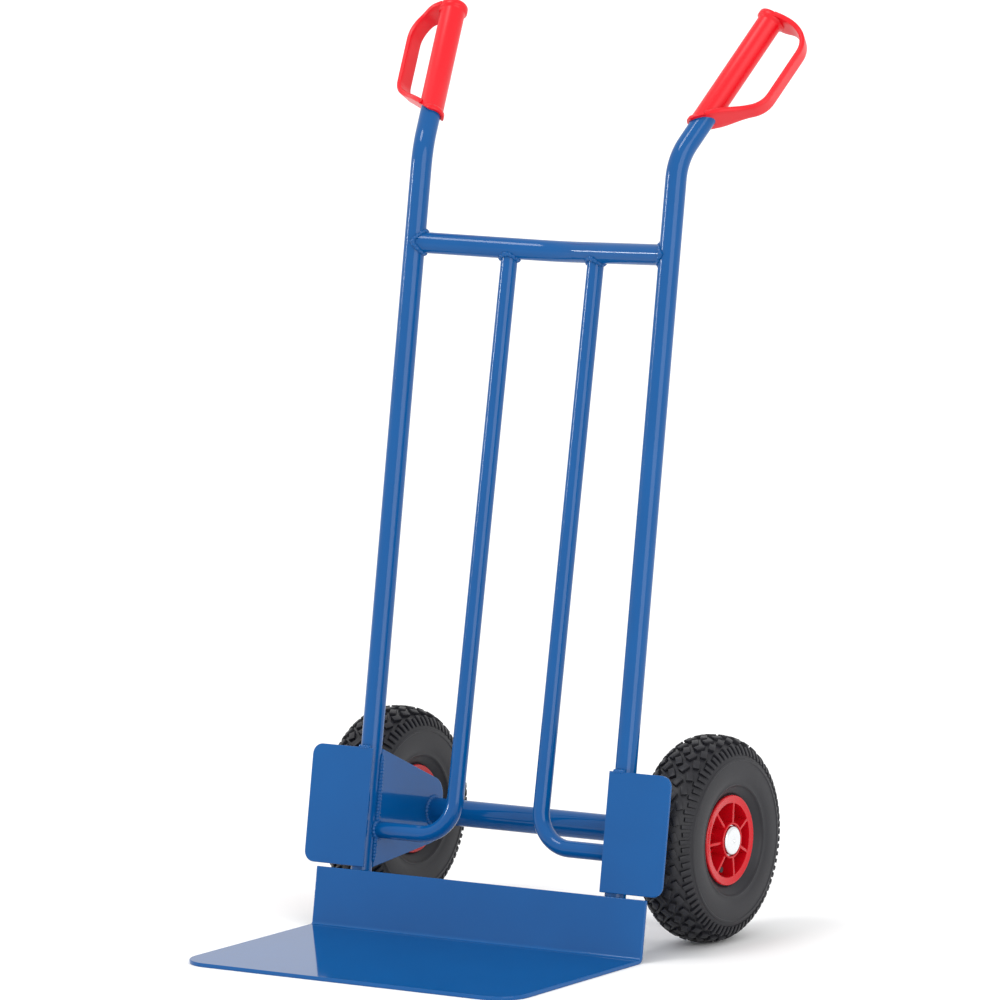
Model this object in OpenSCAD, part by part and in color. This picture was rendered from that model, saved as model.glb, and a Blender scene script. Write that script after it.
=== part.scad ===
// Two-wheeled hand truck: a welded tube frame on a folded toe plate, with two
// air-filled wheels on one axle and a moulded safety grip on each handle.
// +X runs to the right of someone standing in front of the toe plate, +Y to the
// back, +Z up. The origin lies on the floor, in the middle of the truck.

/* [Toe plate] */
// Width of the toe plate
toe_w = 488; // [400:1:600]
// Depth of the blade in front of the fold
toe_depth = 296; // [200:1:360]
// Sheet thickness
toe_t = 5; // [3:0.5:8]
// Height of the turned-up flange
flange_h = 73; // [50:1:110]
// Inner radius of the fold
fold_r = 4; // [2:0.5:8]
// Radius of the blade's front corners
toe_corner_r = 40; // [5:1:60]

/* [Frame] */
// Lean of the frame from the vertical, in degrees
lean = 9.6; // [6:0.1:14]
// Outer diameter of the uprights and the cross bar
tube_d = 26.9; // [22:0.1:34]
// Wall of the uprights and the cross bar
tube_wall = 2.3; // [1.5:0.1:3.5]
// Distance of each upright's centre line from the middle of the truck
upright_x = 188.6; // [150:0.1:230]
// Gap between the floor and the lower end of an upright
foot_gap = 4; // [3:0.5:20]
// Height along the frame at which the handles bend
bend_v = 963; // [800:1:1150]
// Radius of the handle bend's centre line
bend_r = 80; // [60:1:120]
// Angle of the handle bend, in degrees
bend_a = 34; // [15:1:50]
// Turn of the handle bend outwards, in degrees
bend_turn = 22.4; // [0:0.1:35]
// Straight length of tube after the handle bend
handle_l = 199; // [150:1:240]

/* [Cross bar and centre rails] */
// Distance of the cross bar below the handle bends, along the frame
cross_drop = 95; // [40:1:200]
// Backward slope of each half of the cross bar, in degrees
cross_slope = 13.5; // [0.5:0.5:20]
// Radius of the bend in the middle of the cross bar
cross_r = 150; // [80:1:220]
// Outer diameter of the centre rails
rail_d = 21.3; // [16:0.1:26]
// Wall of the centre rails
rail_wall = 2; // [1.5:0.1:3]
// Distance of each centre rail from the middle of the truck
rail_x = 64; // [54:1:110]
// Height of a rail's lower run along the frame
rail_v = 125.5; // [100:0.5:190]
// Setback of the lower run behind the uprights' centre lines
rail_setback = 10; // [4:0.5:20]
// Radius of a rail's lower bend
rail_r = 46; // [35:1:65]

/* [Plates] */
// Gap between the flange and the guard plates
guard_gap = 4.5; // [2:0.5:10]
// Width of a guard plate
guard_w = 90; // [60:1:110]
// Height of a guard plate and of an axle bracket
guard_h = 150; // [125:1:200]
// Thickness of a guard plate
guard_t = 4; // [2:0.5:5]
// Radius of a guard plate's outer corners
guard_corner_r = 14; // [4:1:25]
// Thickness of an axle bracket
bracket_t = 5; // [3:0.5:8]
// Half the height of a bracket's nose before its corners are rounded
nose_h = 37; // [30:1:45]
// Radius of the corners of a bracket's nose
nose_r = 24; // [10:1:28]
// Reach of a bracket behind the axle's centre line
nose_reach = 19.5; // [18:0.5:30]

/* [Axle] */
// Distance of the axle behind the fold, along the floor
axle_back = 177; // [150:1:210]
// Diameter of the axle rod
axle_d = 20; // [15:0.5:20]
// Outer diameter of the tube between the brackets
axle_tube_d = 33.7; // [28:0.1:36]
// Wall of that tube
axle_tube_wall = 2.6; // [2:0.1:4]
// Length of the spacer between a bracket and its wheel
spacer_l = 23; // [15:1:40]
// Radial wall of the spacer
spacer_wall = 3.5; // [2:0.5:5]
// Thickness of a thrust washer
washer_t = 2; // [1:0.5:3]
// Diameter of a thrust washer
washer_d = 38; // [32:0.5:38]
// Diameter of the push-on hub cap
cap_d = 36; // [30:0.5:38]
// Height of the push-on hub cap
cap_h = 6; // [5:0.5:9]
// Sheet thickness of the hub cap
cap_t = 0.8; // [0.6:0.1:1.2]

/* [Wheels] */
// Outside diameter of the tyre
tyre_d = 260; // [240:1:300]
// Width of the tyre
tyre_w = 82; // [76:1:90]
// Radius of the rim under the tyre's beads
seat_r = 50.5; // [48:0.5:55]
// Radius of the rim's flanges
flange_r = 56.5; // [55:0.5:62]
// Width of the rim over its flanges
rim_w = 63.4; // [58:0.2:68]
// Wall of the rim's barrel, flanges and webs
rim_wall = 4; // [3:0.5:5]
// Number of the rim's main ribs
rib_n = 7; // [5:1:9]
// Thickness of a main rib
rib_t = 3.5; // [2:0.5:4.5]
// Length of the hub
hub_l = 70; // [64:1:80]
// Outside radius of the hub
hub_r = 22.5; // [22:0.5:24]
// Radius of the hub's end recesses
recess_r = 20; // [19.5:0.1:20.5]
// Depth of the hub's end recesses
recess_l = 6; // [5:0.5:8]
// Number of rollers in a bearing
roller_n = 12; // [8:1:12]
// Diameter of a roller
roller_d = 3.9; // [3:0.1:4]
// Wall of the bearing's outer sleeve
sleeve_wall = 2; // [1.5:0.5:3]
// Thickness of the tyre's tread
tread_t = 7; // [5:0.5:9]
// Thickness of the tyre's sidewalls
side_t = 3.5; // [2.5:0.5:5]
// Wall of the air tube
air_wall = 1.5; // [1:0.5:2.5]
// Length of the rim's screws under their heads
screw_l = 18; // [14:1:18]

/* [Grips] */
// Wall of a grip's sleeve around the tube
grip_wall = 2.3; // [1.5:0.1:4]
// Distance from the handle bend to a grip's mouth
grip_start = 26; // [15:1:40]
// Height of a grip's end cap
grip_cap_h = 7; // [6:1:12]
// How far a grip's end cap stands out past its sleeve
grip_lip = 2.75; // [2:0.25:5]
// Reach of the hand guard from a grip's axis
guard_reach = 63.5; // [55:0.5:75]
// Thickness of the hand guard's outer leg
leg_t = 6.5; // [5:0.5:9]
// Width of the hand guard's outer leg
leg_w = 21; // [14:1:26]
// Slope of the hand guard's lower arm, in degrees
arm_slope = 38.9; // [25:0.1:45]
// Turn of the hand guard about the grip, in degrees
guard_turn = 33.8; // [0:0.1:60]

/* [Hidden] */
$fn = 64;
fit = 0.05;         // radial running clearance of rollers and washers
run_gap = 0.3;      // axial clearance beside a turning wheel
cut = 1;            // how far a cutting body passes a face
corner_steps = 10;  // straight steps in a rounded plate corner
cope_gap = 0.1;     // weld gap between the cross bar's ends and the uprights

BLUE = "#2568ad";
RED = "#d4222e";
BLACK = "#222326";
STEEL = "#b9bdc2";

upright_w = toe_t + tube_d / 2;
foot_v = (foot_gap - toe_t + (toe_t + tube_d) * sin(lean)) / cos(lean);
guard_v = flange_h + guard_gap;
inner_x = upright_x - tube_d / 2;
cross_v = bend_v - cross_drop;
grip_d = tube_d + 2 * grip_wall;
grip_cap_r = grip_d / 2 + grip_lip;

axle_z = tyre_d / 2;
axle_w = axle_back * cos(lean) - (axle_z - toe_t) * sin(lean);
axle_v = axle_back * sin(lean) + (axle_z - toe_t) * cos(lean);
sleeve_h = hub_l / 2 - recess_l;
washer_z = sleeve_h + run_gap;
cap_z = washer_z + washer_t;
wheel_x = inner_x + bracket_t + spacer_l + cap_z;

// The end of the handle, measured in the leaning frame.
tip_reach = bend_r * (1 - cos(bend_a)) + handle_l * sin(bend_a);
tip_w = upright_w + tip_reach * cos(bend_turn);
tip_v = bend_v + bend_r * sin(bend_a) + handle_l * cos(bend_a);
tip_y = tip_w * cos(lean) + tip_v * sin(lean) + grip_cap_r;
fold_y = (toe_depth - tip_y) / 2;
axle_y = fold_y + axle_back;

cross_back = cross_r * (1 - cos(cross_slope))
    + tan(cross_slope) * (upright_x - cross_r * sin(cross_slope));
rail_w = upright_w + rail_setback;
rail_top_w = upright_w + tan(cross_slope) * (upright_x - rail_x);
rail_tilt = atan((rail_top_w - rail_w) / (cross_v - rail_v));

mid_r = (tyre_d / 2 + seat_r) / 2;
pocket_a = 360 / rib_n;
valve_a = 5 * pocket_a;
valve_r = 3.4;
valve_z = seat_r / 3.4 - valve_r - 0.5;
web_z = 8;
web_top = web_z + rim_wall - 1;
seat_z = web_top - 0.2;
boss_r = 4.5;
boss_at = (seat_r + hub_r) / 2 - 2.5;
screw_r = 2.4;
sleeve_in = axle_d / 2 + roller_d + 2 * fit;
sleeve_out = sleeve_in + sleeve_wall;

grip_end = handle_l + grip_cap_h;
guard_y0 = grip_start + 7;

// ---- Helpers -------------------------------------------------------------

// Points of the arc of radius r that rounds the corner b between a and c.
function unit(v) = v / norm(v);
function turned(v, a) = [v.x * cos(a) - v.y * sin(a), v.x * sin(a) + v.y * cos(a)];
function corner(a, b, c, r) =
    let (p = unit(a - b), q = unit(c - b), half = acos(p * q) / 2,
         centre = b + unit(p + q) * r / sin(half), start = b + p * r / tan(half) - centre,
         side = p.x * q.y - p.y * q.x > 0 ? -1 : 1, sweep = side * (180 - 2 * half))
    [for (i = [0 : corner_steps]) centre + turned(start, sweep * i / corner_steps)];

// Points of a rounded ring section, from angle a0 to a1 about its middle.
function section(half_w, half_h, a0, a1) =
    [for (a = [a0 : 10 * sign(a1 - a0) : a1]) let (c = cos(a), s = sin(a))
        [mid_r + sign(c) * half_h * pow(abs(c), 0.8), sign(s) * half_w * pow(abs(s), 0.8)]];

// Inner radius of that section at distance z from its middle plane.
function inner_at(half_w, half_h, z) =
    mid_r - half_h * pow(1 - pow(z / half_w, 2.5), 0.4);

module mirrored() mirror([1, 0, 0]) children();

// The leaning frame: x across, y square to the frame and z up along it.
module leaned() translate([0, fold_y, toe_t]) rotate([-lean, 0, 0]) children();

// The right wheel's own frame: z outwards along the axle, x to the back, y up.
module on_axle() translate([wheel_x, axle_y, axle_z]) rotate([90, 0, 90]) children();

// A ring about z from z0 to z1.
module ring(r_in, r_out, z0, z1) {
    translate([0, 0, z0]) difference() {
        cylinder(r = r_out, h = z1 - z0);
        translate([0, 0, -cut]) cylinder(r = r_in, h = z1 - z0 + 2 * cut);
    }
}

// A rod along x from x0 to x1.
module rod_x(r, x0, x1) translate([x0, 0, 0]) rotate([0, 90, 0]) cylinder(r = r, h = x1 - x0);

// A hairline collar that joins a bend to the straight tube beside it.
module seam(r) cylinder(r = r + 0.02, h = 0.4, center = true);

// A flat plate across x, drawn with y back and z up.
module plate_x(x, t) translate([x, 0, 0]) rotate([90, 0, 90]) linear_extrude(t) children();

// ---- Toe plate -----------------------------------------------------------

// Points of the fold at radius r about its centre.
function fold_arc(r) =
    let (fold_a = 90 - lean, centre = [-fold_r * tan(fold_a / 2), toe_t + fold_r])
    [for (i = [0 : corner_steps]) centre + r * [sin(fold_a * i / corner_steps),
        -cos(fold_a * i / corner_steps)]];

module toe_plate() {
    top = [flange_h * sin(lean), toe_t + flange_h * cos(lean)];
    inner = fold_arc(fold_r);
    color(BLUE) translate([0, fold_y, 0]) intersection() {
        plate_x(-toe_w / 2 - cut, toe_w + 2 * cut) polygon(concat(
            [[-toe_depth - cut, 0]], fold_arc(fold_r + toe_t),
            [top + toe_t * [cos(lean), -sin(lean)], top],
            [for (i = [corner_steps : -1 : 0]) inner[i]], [[-toe_depth - cut, toe_t]]));
        translate([0, 0, -cut]) linear_extrude(flange_h + toe_t + 2 * cut) polygon(concat(
            [[-toe_w / 2, flange_h]],
            corner([-toe_w / 2, flange_h], [-toe_w / 2, -toe_depth], [toe_w / 2, -toe_depth], toe_corner_r),
            corner([-toe_w / 2, -toe_depth], [toe_w / 2, -toe_depth], [toe_w / 2, flange_h], toe_corner_r),
            [[toe_w / 2, flange_h]]));
    }
}

// ---- Uprights and cross bar ----------------------------------------------

// The handle's own frame, with z along its straight end and 0 at the bend.
module at_handle() leaned() translate([upright_x, upright_w, bend_v]) rotate([0, 0, -bend_turn])
    translate([0, bend_r * (1 - cos(bend_a)), bend_r * sin(bend_a)])
        rotate([-bend_a, 0, 0]) children();

// Solid path of one upright with radius r, extended past both ends by more.
module upright_path(r, more) {
    leaned() translate([upright_x, upright_w, 0]) rotate([0, 0, -bend_turn]) {
        translate([0, 0, foot_v - more]) cylinder(r = r, h = bend_v - foot_v + more);
        translate([0, bend_r, bend_v]) rotate([90, 0, -90])
            rotate_extrude(angle = bend_a) translate([bend_r, 0]) circle(r = r);
        translate([0, 0, bend_v]) seam(r);
    }
    at_handle() {
        cylinder(r = r, h = handle_l + more);
        seam(r);
    }
}

module upright() color(BLUE) difference() {
    upright_path(tube_d / 2, 0);
    upright_path(tube_d / 2 - tube_wall, cut);
}

// Solid path of the cross bar with radius r, in the leaning frame.
module cross_path(r) translate([0, upright_w, cross_v]) {
    translate([0, cross_back - cross_r, 0]) rotate([0, 0, 90 - cross_slope])
        rotate_extrude(angle = 2 * cross_slope) translate([cross_r, 0]) circle(r = r);
    for (m = [0, 1]) mirror([m, 0, 0]) cross_half(r);
}

module cross_half(r) {
    x = cross_r * sin(cross_slope);
    translate([x, cross_back - cross_r * (1 - cos(cross_slope)), 0]) rotate([0, 0, -cross_slope])
    {
        rod_x(r, 0, (upright_x - x) / cos(cross_slope));
        rotate([0, 90, 0]) seam(r);
    }
}

module cross_bar() color(BLUE) leaned() difference() {
    cross_path(tube_d / 2);
    cross_path(tube_d / 2 - tube_wall);
    for (side = [-1, 1]) translate([side * upright_x, upright_w, cross_v - tube_d])
        cylinder(r = tube_d / 2 + cope_gap, h = 2 * tube_d);
}

// ---- Centre rails --------------------------------------------------------

module rail_path(r, more) translate([0, rail_w, rail_v]) rotate([-rail_tilt, 0, 0]) {
    rod_x(r, rail_x + rail_r, inner_x + more);
    translate([rail_x + rail_r, 0, rail_r]) rotate([90, 0, 0]) rotate([0, 0, 180])
        rotate_extrude(angle = 90) translate([rail_r, 0]) circle(r = r);
    translate([rail_x, 0, rail_r])
        cylinder(r = r, h = (cross_v - rail_v) / cos(rail_tilt) - rail_r);
}

module centre_rail() color(BLUE) leaned() difference() {
    rail_path(rail_d / 2, 0);
    rail_path(rail_d / 2 - rail_wall, cut);
    translate([0, upright_w, cross_v]) cross_half(tube_d / 2);
}

// ---- Guard plates and axle brackets --------------------------------------

module guard_plate() color(BLUE) leaned() {
    p = [[0, 0], [guard_w, 0], [guard_w, guard_h], [0, guard_h]];
    translate([inner_x, toe_t, guard_v]) rotate([90, 0, 0]) linear_extrude(guard_t)
        polygon(concat([p[0]], corner(p[0], p[1], p[2], guard_corner_r),
            corner(p[1], p[2], p[3], guard_corner_r), [p[3]]));
}

module axle_bracket() color(BLUE) {
    start = upright_w + tube_d / 5;
    low = [start, guard_v];
    high = [start, guard_v + guard_h];
    nose_low = [axle_w + nose_reach, axle_v - nose_h];
    nose_high = [axle_w + nose_reach, axle_v + nose_h];
    leaned() difference() {
        plate_x(inner_x, bracket_t) polygon(concat([low],
            corner(low, nose_low, nose_high, nose_r),
            corner(nose_low, nose_high, high, nose_r), [high]));
        translate([upright_x, upright_w, 0]) cylinder(r = tube_d / 2, h = bend_v);
        translate([0, axle_w, axle_v]) rod_x(axle_d / 2, inner_x - cut, inner_x + bracket_t + cut);
    }
}

// ---- Axle ----------------------------------------------------------------

module axle_tube() color(BLUE) translate([0, axle_y, axle_z]) difference() {
    rod_x(axle_tube_d / 2, -inner_x, inner_x);
    rod_x(axle_tube_d / 2 - axle_tube_wall, -inner_x - cut, inner_x + cut);
}

module axle_rod() {
    half = wheel_x + cap_z + cap_h - 2 * cap_t - 1.2;
    color(STEEL) translate([0, axle_y, axle_z]) rod_x(axle_d / 2, -half, half);
}

module axle_spacer() color(STEEL) on_axle()
    ring(axle_d / 2, axle_d / 2 + spacer_wall, -cap_z - spacer_l, -cap_z);

module washer(z) color(STEEL) on_axle() ring(axle_d / 2, washer_d / 2, z, z + washer_t);

// Push-on cap: a shell whose spring collar grips the end of the rod.
module hub_cap() color(STEEL) on_axle() translate([0, 0, cap_z]) {
    r = cap_d / 2;
    rotate_extrude() polygon([[axle_d / 2, 0], [r, 0], [r, cap_h - 1.5], [r - 2.5, cap_h],
        [1.5, cap_h], [0, cap_h - 0.5], [0, cap_h - cap_t - 0.5], [r - 3, cap_h - cap_t],
        [r - cap_t, cap_h - 1.8], [r - cap_t, cap_t], [axle_d / 2, cap_t]]);
}

// ---- Wheel ---------------------------------------------------------------

// A tyre whose beads sit on the rim between its flanges.
module tyre() {
    half_w = tyre_w / 2;
    half_h = tyre_d / 2 - mid_r;
    in_w = half_w - side_t;
    in_h = half_h - tread_t;
    bead_z = rim_w / 2 - rim_wall - fit;
    bead_in = seat_r / 3.4;
    heel = [[inner_at(half_w, half_h, bead_z), bead_z], [seat_r, bead_z],
        [seat_r, bead_in], [inner_at(in_w, in_h, bead_in), bead_in]];
    color(BLACK) on_axle() rotate_extrude() polygon(concat(
        section(half_w, half_h, -140, 140), heel,
        section(in_w, in_h, 160, -160), [for (i = [3 : -1 : 0]) [heel[i].x, -heel[i].y]]));
}

module air_tube() {
    half_w = tyre_w / 2 - side_t - 0.5;
    half_h = tyre_d / 2 - mid_r - tread_t - 0.5;
    color("#3a3a3c") on_axle() rotate_extrude() difference() {
        polygon(section(half_w, half_h, 0, 350));
        polygon(section(half_w - air_wall, half_h - air_wall, 0, 350));
    }
}

// Bent valve: a rubber foot through the barrel, then a stem that points outwards.
module at_valve() on_axle() rotate([0, 0, valve_a]) translate([seat_r - 13, 0, valve_z]) children();

module valve_stem() color(BLACK) at_valve() {
    rotate([0, 90, 0]) cylinder(r = valve_r, h = mid_r - (tyre_d / 2 - mid_r - tread_t) - seat_r + 13.2);
    sphere(r = valve_r);
    cylinder(r = 2.4, h = 11);
}

module valve_cap() color(BLACK) at_valve() difference() {
    translate([0, 0, 5]) cylinder(r = 3.6, h = 8);
    translate([0, 0, 4]) cylinder(r = 2.4, h = 7);
}

// One half of the two-piece rim, before its own holes are made.
module rim_half() {
    half = rim_w / 2;
    ring(seat_r - rim_wall, seat_r, 0, half - cut);
    ring(seat_r - rim_wall, flange_r, half - rim_wall, half);
    ring(hub_r - 1, seat_r - 1, web_z, web_top);
    ring(sleeve_out, hub_r, 0, sleeve_h);
    ring(recess_r, hub_r, sleeve_h - cut, hub_l / 2);
    for (i = [0 : rib_n - 1]) rotate([0, 0, (i + 0.5) * pocket_a]) {
        translate([hub_r - 1, -rib_t / 2, web_z + 1]) cube([seat_r - rim_wall - hub_r + 2, rib_t,
            half - web_z - 1.6]);
        translate([boss_at, 0, 0]) cylinder(r = boss_r, h = web_z + 1);
    }
}

module rim_outer() color(RED) on_axle() difference() {
    union() {
        rim_half();
        for (i = [0 : rib_n - 1]) if (i != 5) rotate([0, 0, i * pocket_a])
            translate([hub_r - 1, -rib_t / 3, web_z + 1])
                cube([seat_r - rim_wall - hub_r + 2, rib_t * 2 / 3, 9]);
    }
    for (i = [0 : rib_n - 1]) rotate([0, 0, (i + 0.5) * pocket_a])
        translate([boss_at, 0, -cut]) cylinder(r = screw_r, h = screw_l - seat_z + 1 + cut);
    rotate([0, 0, valve_a]) {
        translate([boss_at, 0, -cut]) cylinder(r = 7, h = 2 * web_z + cut);
        translate([boss_at, -7, -cut]) cube([seat_r - rim_wall - boss_at + 1, 14, 2 * web_z + cut]);
        translate([0, 0, valve_z]) rod_x(valve_r + 0.2, seat_r - rim_wall - 3, seat_r + cut);
    }
}

module rim_inner() color(RED) on_axle() mirror([0, 0, 1]) difference() {
    rim_half();
    for (i = [0 : rib_n - 1]) rotate([0, 0, (i + 0.5) * pocket_a]) translate([boss_at, 0, 0]) {
        translate([0, 0, -cut]) cylinder(r = screw_r + 0.3, h = web_z + rim_w);
        translate([0, 0, seat_z]) cylinder(r = boss_r + 0.6, h = rim_w);
    }
}

module rim_screws() color(STEEL) on_axle()
    for (i = [0 : rib_n - 1]) rotate([0, 0, (i + 0.5) * pocket_a]) translate([boss_at, 0, -seat_z]) {
        cylinder(r = screw_r, h = screw_l);
        translate([0, 0, -3]) difference() {
            cylinder(r = boss_r, h = 3);
            translate([0, 0, -cut]) cylinder(r = 2.2, h = 2 + cut, $fn = 6);
        }
    }

module bearing_sleeve() color(STEEL) on_axle() ring(sleeve_in, sleeve_out, -sleeve_h, sleeve_h);

module bearing_cage() color(BLACK) on_axle() difference() {
    ring(axle_d / 2 + 0.6, sleeve_in - 0.6, -sleeve_h + 1, sleeve_h - 1);
    roller_set(0.1);
}

module roller_set(gap) for (i = [0 : roller_n - 1]) rotate([0, 0, i * 360 / roller_n])
    translate([(axle_d / 2 + sleeve_in) / 2, 0, -sleeve_h + 4 - gap])
        cylinder(r = roller_d / 2 + gap, h = 2 * (sleeve_h - 4 + gap));

module bearing_rollers() color(STEEL) on_axle() roller_set(0);

// ---- Grip ----------------------------------------------------------------

// Outline of the hand guard, x out from the grip's axis and y along it. The
// lower arm starts at height y0, the outer leg stands at x1, the top lies at y1.
module guard_outline(y0, x1, y1, r_low, r_high) {
    foot = [0, y0];
    knee = [x1, y0 + x1 * tan(arm_slope)];
    polygon(concat([foot], corner(foot, knee, [x1, y1], r_low),
        corner(knee, [x1, y1], [0, y1], r_high), [[0, y1]]));
}

module hand_guard() {
    wide = grip_cap_r - 0.5;
    narrow = leg_w / 2;
    intersection() {
        translate([0, grip_cap_r, 0]) rotate([90, 0, 0]) linear_extrude(2 * grip_cap_r)
            difference() {
                guard_outline(guard_y0, guard_reach, grip_end, 35, 36);
                guard_outline(guard_y0 + 10.3, guard_reach - leg_t, grip_end - leg_t - 1, 28, 30);
            }
        linear_extrude(grip_end + cut) polygon([[-1, -wide], [grip_cap_r - 4, -wide],
            [guard_reach - 16, -narrow], [guard_reach + 1, -narrow], [guard_reach + 1, narrow],
            [guard_reach - 16, narrow], [grip_cap_r - 4, wide], [-1, wide]]);
    }
}

// What lies below the lower arm, where the mouth of the grip is cut back with it.
module below_guard() {
    x0 = grip_start - cut - guard_y0;
    x1 = guard_reach;
    translate([0, 2 * grip_cap_r, 0]) rotate([90, 0, 0]) linear_extrude(4 * grip_cap_r)
        polygon([[x0 / tan(arm_slope), grip_start - cut], [x1, grip_start - cut],
            [x1, guard_y0 + x1 * tan(arm_slope) - 0.05], [0, guard_y0 - 0.05]]);
}

module grip() color(RED) at_handle() difference() {
    union() {
        translate([0, 0, grip_start]) cylinder(r = grip_d / 2, h = grip_end - grip_start);
        translate([0, 0, grip_start]) cylinder(r = grip_cap_r - 0.5, h = 6);
        translate([0, 0, grip_end - grip_cap_h - 2]) cylinder(r = grip_cap_r, h = grip_cap_h + 2);
        rotate([0, 0, guard_turn]) hand_guard();
    }
    translate([0, 0, grip_start - cut]) cylinder(r = tube_d / 2, h = handle_l - grip_start + cut);
    rotate([0, 0, guard_turn]) below_guard();
}

// ---- Assembly ------------------------------------------------------------

toe_plate();
mirrored() upright();  // upright_left
upright();  // upright_right
cross_bar();
mirrored() centre_rail();  // centre_rail_left
centre_rail();  // centre_rail_right
mirrored() guard_plate();  // guard_plate_left
guard_plate();  // guard_plate_right
mirrored() axle_bracket();  // axle_bracket_left
axle_bracket();  // axle_bracket_right
axle_tube();
axle_rod();
mirrored() grip();  // grip_left
grip();  // grip_right
mirrored() axle_spacer();  // axle_spacer_left
axle_spacer();  // axle_spacer_right
mirrored() washer(-cap_z);  // inner_washer_left
washer(-cap_z);  // inner_washer_right
mirrored() washer(washer_z);  // outer_washer_left
washer(washer_z);  // outer_washer_right
mirrored() hub_cap();  // hub_cap_left
hub_cap();  // hub_cap_right
mirrored() tyre();  // tyre_left
tyre();  // tyre_right
mirrored() air_tube();  // air_tube_left
air_tube();  // air_tube_right
mirrored() valve_stem();  // valve_stem_left
valve_stem();  // valve_stem_right
mirrored() valve_cap();  // valve_cap_left
valve_cap();  // valve_cap_right
mirrored() rim_outer();  // rim_outer_left
rim_outer();  // rim_outer_right
mirrored() rim_inner();  // rim_inner_left
rim_inner();  // rim_inner_right
mirrored() rim_screws();  // rim_screws_left
rim_screws();  // rim_screws_right
mirrored() bearing_sleeve();  // bearing_sleeve_left
bearing_sleeve();  // bearing_sleeve_right
mirrored() bearing_cage();  // bearing_cage_left
bearing_cage();  // bearing_cage_right
mirrored() bearing_rollers();  // bearing_rollers_left
bearing_rollers();  // bearing_rollers_right
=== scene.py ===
# A two-wheeled hand truck, in the order in which it is put together: the folded toe
# plate, the welded tube frame, the plates and the axle, the grips, and then the wheels.
# Sizes are millimetres, and each mesh is turned to metres when its piece is added.

from math import atan, atan2, copysign, cos, degrees, hypot, pi, radians, sin, sqrt, tan

import bmesh
import bpy
import numpy as np
from mathutils import Matrix, Vector


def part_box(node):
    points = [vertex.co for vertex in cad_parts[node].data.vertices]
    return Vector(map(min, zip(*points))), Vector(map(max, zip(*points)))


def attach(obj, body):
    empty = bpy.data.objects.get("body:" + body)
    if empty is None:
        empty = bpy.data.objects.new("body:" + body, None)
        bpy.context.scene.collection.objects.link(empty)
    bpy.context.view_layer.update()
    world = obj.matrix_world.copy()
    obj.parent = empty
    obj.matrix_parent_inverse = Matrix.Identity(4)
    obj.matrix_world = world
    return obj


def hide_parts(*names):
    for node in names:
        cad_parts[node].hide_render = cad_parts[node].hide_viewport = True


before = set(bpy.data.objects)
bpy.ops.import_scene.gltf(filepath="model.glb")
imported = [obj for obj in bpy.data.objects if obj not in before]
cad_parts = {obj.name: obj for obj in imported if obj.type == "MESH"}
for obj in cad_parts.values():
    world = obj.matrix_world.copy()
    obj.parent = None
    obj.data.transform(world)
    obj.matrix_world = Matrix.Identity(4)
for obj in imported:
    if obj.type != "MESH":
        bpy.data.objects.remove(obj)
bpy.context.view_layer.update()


# ---- Camera --------------------------------------------------------------
# A long lens, so that the uprights stay almost parallel. It stands to the right in
# front of the truck, a little above the middle of its height.

MM = 0.001
CAMERA_AZIMUTH = radians(32.84)
CAMERA_ELEVATION = radians(7.12)
CAMERA_ROLL = radians(-0.33)
CAMERA_DISTANCE = 9.3246
CAMERA_LENS = 272.3
CAMERA_CLIP = 100
AIM_X, AIM_Z = 42.4, 561.5
TOE_DEPTH = 296

# The frame leans back from the line where the toe plate is folded.
fold_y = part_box("toe_plate")[0][1] / MM + TOE_DEPTH
scene = bpy.context.scene
aim = Vector((AIM_X, fold_y, AIM_Z)) * MM
sight = Vector((
    sin(CAMERA_AZIMUTH) * cos(CAMERA_ELEVATION),
    -cos(CAMERA_AZIMUTH) * cos(CAMERA_ELEVATION),
    sin(CAMERA_ELEVATION),
))
camera = bpy.data.objects.new("camera", bpy.data.cameras.new("camera"))
camera.data.lens = CAMERA_LENS
camera.data.clip_end = CAMERA_CLIP
camera.matrix_world = (
    Matrix.Translation(aim + sight * CAMERA_DISTANCE)
    @ sight.to_track_quat("Z", "Y").to_matrix().to_4x4()
    @ Matrix.Rotation(CAMERA_ROLL, 4, "Z")
)
scene.collection.objects.link(camera)
scene.camera = camera


# ---- Studio --------------------------------------------------------------
# A pale floor, white surroundings and three far soft lamps: one high in front, and a low
# one on each side that draws a streak along every tube.

WHITE_FLOOR = "#fafafa"
SURROUNDINGS = 0.98
FLOOR_HALF_W = 30
# Each lamp's way in, how wide it looks in degrees, and its light in watts a square metre.
LAMPS = {
    "top_lamp": {"from": (-1.2, -2.6, 4.6), "spread": 20, "strength": 0.8},
    "left_lamp": {"from": (-4.2, -2.2, 0.9), "spread": 7, "strength": 0.3},
    "right_lamp": {"from": (4.5, -2.6, 1.4), "spread": 44, "strength": 1.0},
}


def colour(code):
    """An sRGB hex colour as linear red, green, blue and alpha."""
    parts = [int(code[i:i + 2], 16) / 255 for i in (1, 3, 5)]
    return [p / 12.92 if p <= 0.04045 else ((p + 0.055) / 1.055) ** 2.4 for p in parts] + [1]


def add_node(tree, kind, feeds=None, **settings):
    """Adds a node, sets it, and gives each named input a value or a link."""
    added = tree.nodes.new(kind)
    for name, value in settings.items():
        setattr(added, name, value)
    for socket, value in (feeds or {}).items():
        if isinstance(value, bpy.types.NodeSocket):
            tree.links.new(value, added.inputs[socket])
        else:
            added.inputs[socket].default_value = value
    return added


def new_material(name):
    """An empty material and its node tree."""
    material = bpy.data.materials.new(name)
    material.use_nodes = True
    material.node_tree.nodes.clear()
    return material, material.node_tree


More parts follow.
